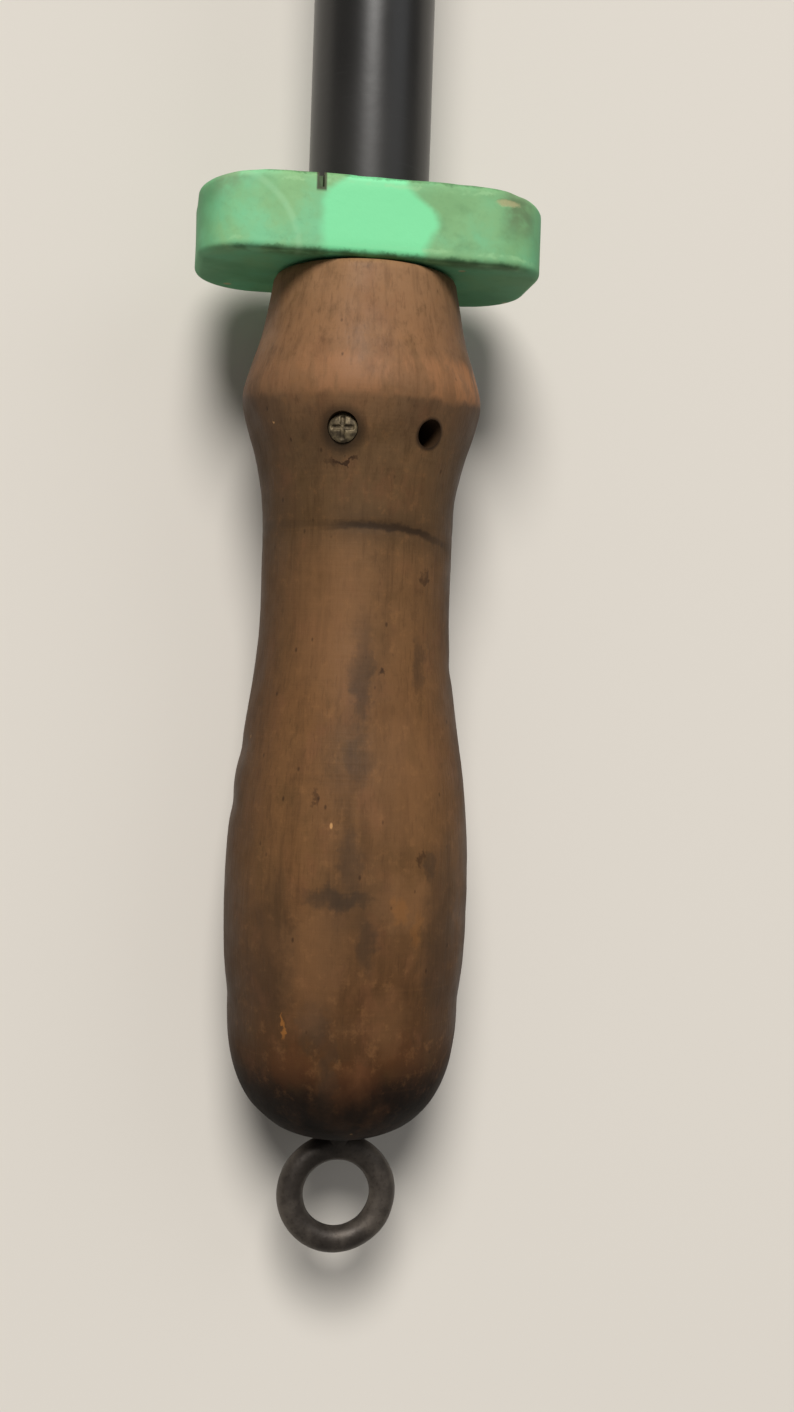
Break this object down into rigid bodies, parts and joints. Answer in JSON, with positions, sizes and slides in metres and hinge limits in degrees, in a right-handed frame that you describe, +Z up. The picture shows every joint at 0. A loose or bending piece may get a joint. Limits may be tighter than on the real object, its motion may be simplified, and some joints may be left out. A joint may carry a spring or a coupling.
{
  "type": "carpet sweeper",
  "caption": "Hand-pushed carpet sweeper: a pressed case on wheels that turn a bristle brush between two opening dust pans, with a swinging bail handle and a turned wood grip.",
  "frame": {"origin": "on the floor under the middle of the whole sweeper with its handle laid down", "axes": "+X to the right along the wheel axles, +Y from the case back along the handle, +Z up"},
  "size_m": [0.338, 1.3584, 0.1381],
  "materials": {
    "green_paint": "worn gloss enamel",
    "guard_paint": "worn grimy mint paint on wood",
    "black_paint": "black enamel",
    "stained_wood": "old dark varnish, worn",
    "plain_wood": "bare turned beech",
    "plated_steel": "dull plated steel",
    "dark_iron": "dark patinated iron",
    "old_brass": "tarnished brass",
    "black_rubber": "matt rubber",
    "hair_bristle": "dark hair tufts"
  },
  "bodies": {
    "case": {"case_shell": "green_paint", "furniture_band": "black_rubber", "brush_comb": "plated_steel", "badge_plate": "plated_steel", "badge_rivet_left": "plated_steel", "badge_rivet_right": "plated_steel", "dump_guide": "plated_steel", "dump_spring_front": "plated_steel", "dump_spring_rear": "plated_steel", "end_plate_left": "green_paint", "end_plate_right": "green_paint", "pivot_stud_left": "plated_steel", "pivot_stud_right": "plated_steel", "pivot_bush_left": "plated_steel", "pivot_bush_right": "plated_steel", "brush_bearing_left": "plain_wood", "brush_bearing_right": "plain_wood", "axle_pin_front_left": "plated_steel", "axle_pin_rear_left": "plated_steel", "axle_pin_front_right": "plated_steel", "axle_pin_rear_right": "plated_steel"},
    "handle": {"bail_arm_left": "black_paint", "bail_arm_right": "black_paint", "handle_socket": "black_paint", "socket_bolt_lower": "plated_steel", "socket_bolt_upper": "plated_steel", "socket_nut_lower": "plated_steel", "socket_nut_upper": "plated_steel", "lower_tube": "black_paint", "upper_tube": "black_paint", "tube_coupling": "plated_steel", "coupling_screw": "plated_steel", "hand_guard": "guard_paint", "grip": "stained_wood", "grip_screw": "old_brass", "screw_eye": "dark_iron"},
    "brush": {"brush_core": "plain_wood", "brush_shaft": "plated_steel", "drive_roller_left": "black_rubber", "drive_roller_right": "black_rubber", "bristle_row_1": "hair_bristle", "bristle_row_2": "hair_bristle", "bristle_row_3": "hair_bristle", "bristle_row_4": "hair_bristle"},
    "wheel_front_left": {"wheel_front_left": "black_paint", "tyre_front_left": "black_rubber"},
    "wheel_front_right": {"wheel_front_right": "black_paint", "tyre_front_right": "black_rubber"},
    "wheel_rear_left": {"wheel_rear_left": "black_paint", "tyre_rear_left": "black_rubber"},
    "wheel_rear_right": {"wheel_rear_right": "black_paint", "tyre_rear_right": "black_rubber"},
    "front_dust_pan": {"front_pan": "green_paint", "front_pan_rod": "plated_steel", "front_pan_crank": "plated_steel"},
    "rear_dust_pan": {"rear_pan": "green_paint", "rear_pan_rod": "plated_steel", "rear_pan_crank": "plated_steel"},
    "dump_plunger": {"dump_yoke": "plated_steel", "dump_knob": "black_rubber"}
  },
  "joints": [
    {"name": "handle_swing", "type": "hinge", "parent": "case", "child": "handle", "pos_m": [0, -0.55843, 0.072], "axis": [1, 0, 0], "range_deg": [0, 180]},
    {"name": "brush_spin", "type": "hinge", "parent": "case", "child": "brush", "pos_m": [0, -0.55843, 0.036], "axis": [1, 0, 0], "continuous": true},
    {"name": "wheel_front_left_spin", "type": "hinge", "parent": "case", "child": "wheel_front_left", "pos_m": [-0.133, -0.60333, 0.03], "axis": [1, 0, 0], "continuous": true},
    {"name": "wheel_front_right_spin", "type": "hinge", "parent": "case", "child": "wheel_front_right", "pos_m": [0.133, -0.60333, 0.03], "axis": [1, 0, 0], "continuous": true},
    {"name": "wheel_rear_left_spin", "type": "hinge", "parent": "case", "child": "wheel_rear_left", "pos_m": [-0.133, -0.51353, 0.03], "axis": [1, 0, 0], "continuous": true},
    {"name": "wheel_rear_right_spin", "type": "hinge", "parent": "case", "child": "wheel_rear_right", "pos_m": [0.133, -0.51353, 0.03], "axis": [1, 0, 0], "continuous": true},
    {"name": "dump_press", "type": "slide", "parent": "case", "child": "dump_plunger", "axis": [0, 0, -1], "range_m": [0, 0.0168], "stiffness_N_per_m": 600, "springref_m": -0.03, "deforming": ["dump_spring_front", "dump_spring_rear"]},
    {"name": "rear_pan_swing", "type": "hinge", "parent": "case", "child": "rear_dust_pan", "pos_m": [0, -0.45643, 0.019], "axis": [1, 0, 0], "range_deg": [0, 45]},
    {"name": "front_pan_swing", "type": "hinge", "parent": "case", "child": "front_dust_pan", "pos_m": [0, -0.66043, 0.019], "axis": [-1, 0, 0], "range_deg": [0, 45]}
  ],
  "couplings": [
    {"joint": "wheel_front_left_spin", "follows": "brush_spin", "ratio": -0.5},
    {"joint": "wheel_front_right_spin", "follows": "brush_spin", "ratio": -0.5},
    {"joint": "wheel_rear_left_spin", "follows": "brush_spin", "ratio": -0.5},
    {"joint": "wheel_rear_right_spin", "follows": "brush_spin", "ratio": -0.5},
    {"joint": "rear_pan_swing", "follows": "dump_press", "rad_per_m": 46.645},
    {"joint": "front_pan_swing", "follows": "dump_press", "rad_per_m": 46.645}
  ]
}
